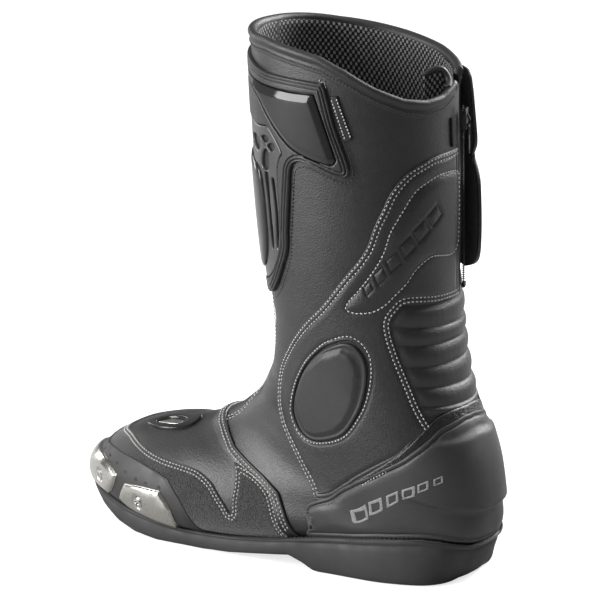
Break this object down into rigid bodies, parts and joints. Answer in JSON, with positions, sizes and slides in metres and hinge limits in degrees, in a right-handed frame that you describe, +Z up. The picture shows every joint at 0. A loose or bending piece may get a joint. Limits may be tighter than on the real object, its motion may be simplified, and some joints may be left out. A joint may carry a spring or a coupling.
{
  "type": "motorcycle race boot",
  "caption": "Tall left motorcycle race boot with a pleated ankle, heel and shin armour, metal toe sliders, padded collar and a velvet-faced flap over the rear zip, standing just off it.",
  "frame": {"origin": "on the ground, under the middle of the whole boot's bounding box", "axes": "+Z up the shaft, -Y towards the toe and +Y towards the heel, +X towards the outer side of this left boot"},
  "size_m": [0.1196, 0.3228, 0.3468],
  "materials": {
    "leather": "charcoal full-grain leather with a soft low sheen",
    "leather_soft": "softer charcoal leather pleated over stretch fabric",
    "suede": "dark nubuck-like grain, nearly no shine",
    "binding": "black woven-grain edge binding",
    "tpu_grey": "dark grey moulded polyurethane, satin",
    "tpu_black": "smooth black moulded rubber, satin",
    "rubber_sole": "dark grey sole rubber with a fine matte texture",
    "rubber_grip": "black moulded rubber, matte",
    "shield_gloss": "dark grey gloss moulding with clear highlights",
    "satin_grey": "light grey satin-painted moulding",
    "nickel": "bright brushed light alloy",
    "steel": "plain steel",
    "mesh_lining": "black spacer mesh lining",
    "foam": "grey closed-cell foam with a knitted face",
    "board": "fibre board",
    "velvet": "black velvet loop facing",
    "zip_tape": "black woven zip tape"
  },
  "bodies": {
    "foot": {"outsole": "rubber_sole", "insole_board": "board", "steel_shank": "steel", "footbed": "foam", "lining_foot": "mesh_lining", "toe_stiffener": "board", "heel_stiffener": "board", "ankle_foam_lateral": "foam", "ankle_foam_medial": "foam", "vamp": "leather", "quarter_lateral_lower": "leather", "quarter_medial_lower": "leather", "suede_toe_panel": "suede", "toe_bumper": "tpu_black", "toe_slider_front": "nickel", "toe_slider_side": "nickel", "slider_screw_front": "steel", "slider_screw_side": "steel", "heel_counter": "tpu_grey", "heel_bumper": "rubber_grip", "counter_binding": "binding", "ankle_overlay_lateral": "leather", "ankle_overlay_medial": "leather", "ankle_disc_lateral": "tpu_black", "ankle_disc_medial": "rubber_grip", "rear_stretch": "leather_soft", "vamp_vent_frame": "tpu_black", "vamp_vent_insert": "nickel"},
    "shaft": {"lining_shaft": "mesh_lining", "quarter_lateral_upper": "leather", "quarter_medial_upper": "leather", "shin_pad": "foam", "calf_pad_lateral": "foam", "calf_overlay_lateral": "leather", "calf_overlay_medial": "rubber_grip", "calf_patch": "leather", "shin_frame": "tpu_black", "shin_shield": "shield_gloss", "shin_grille": "satin_grey", "shin_plate": "satin_grey", "collar": "leather_soft", "side_tab": "rubber_grip", "hook_patch": "velvet", "zip_tape": "zip_tape", "zip_teeth": "zip_tape", "zip_stop": "steel"},
    "flap": {"closure_flap": "leather", "flap_velvet": "velvet"},
    "zip_slider": {"zip_slider": "nickel"},
    "zip_pull": {"zip_pull": "nickel"}
  },
  "joints": [
    {"name": "ankle_flex", "type": "hinge", "parent": "foot", "child": "shaft", "pos_m": [0, 0.0677, 0.122], "axis": [1, 0, 0], "range_deg": [-12, 18], "stiffness_Nm_per_rad": 6},
    {"name": "flap_open", "type": "hinge", "parent": "shaft", "child": "flap", "pos_m": [-0.04752, 0.1043, 0.24008], "axis": [-0.0332, 0.0434, 0.9985], "range_deg": [-2.5, 55], "stiffness_Nm_per_rad": 0.06},
    {"name": "zip_slide", "type": "slide", "parent": "shaft", "child": "zip_slider", "axis": [0.0092, -0.041, -0.9991], "range_m": [0, 0.093]},
    {"name": "pull_swing", "type": "hinge", "parent": "zip_slider", "child": "zip_pull", "pos_m": [-0.02578, 0.13388, 0.277], "axis": [0.9111, 0.4121, -0.0085], "range_deg": [0, 7]}
  ]
}
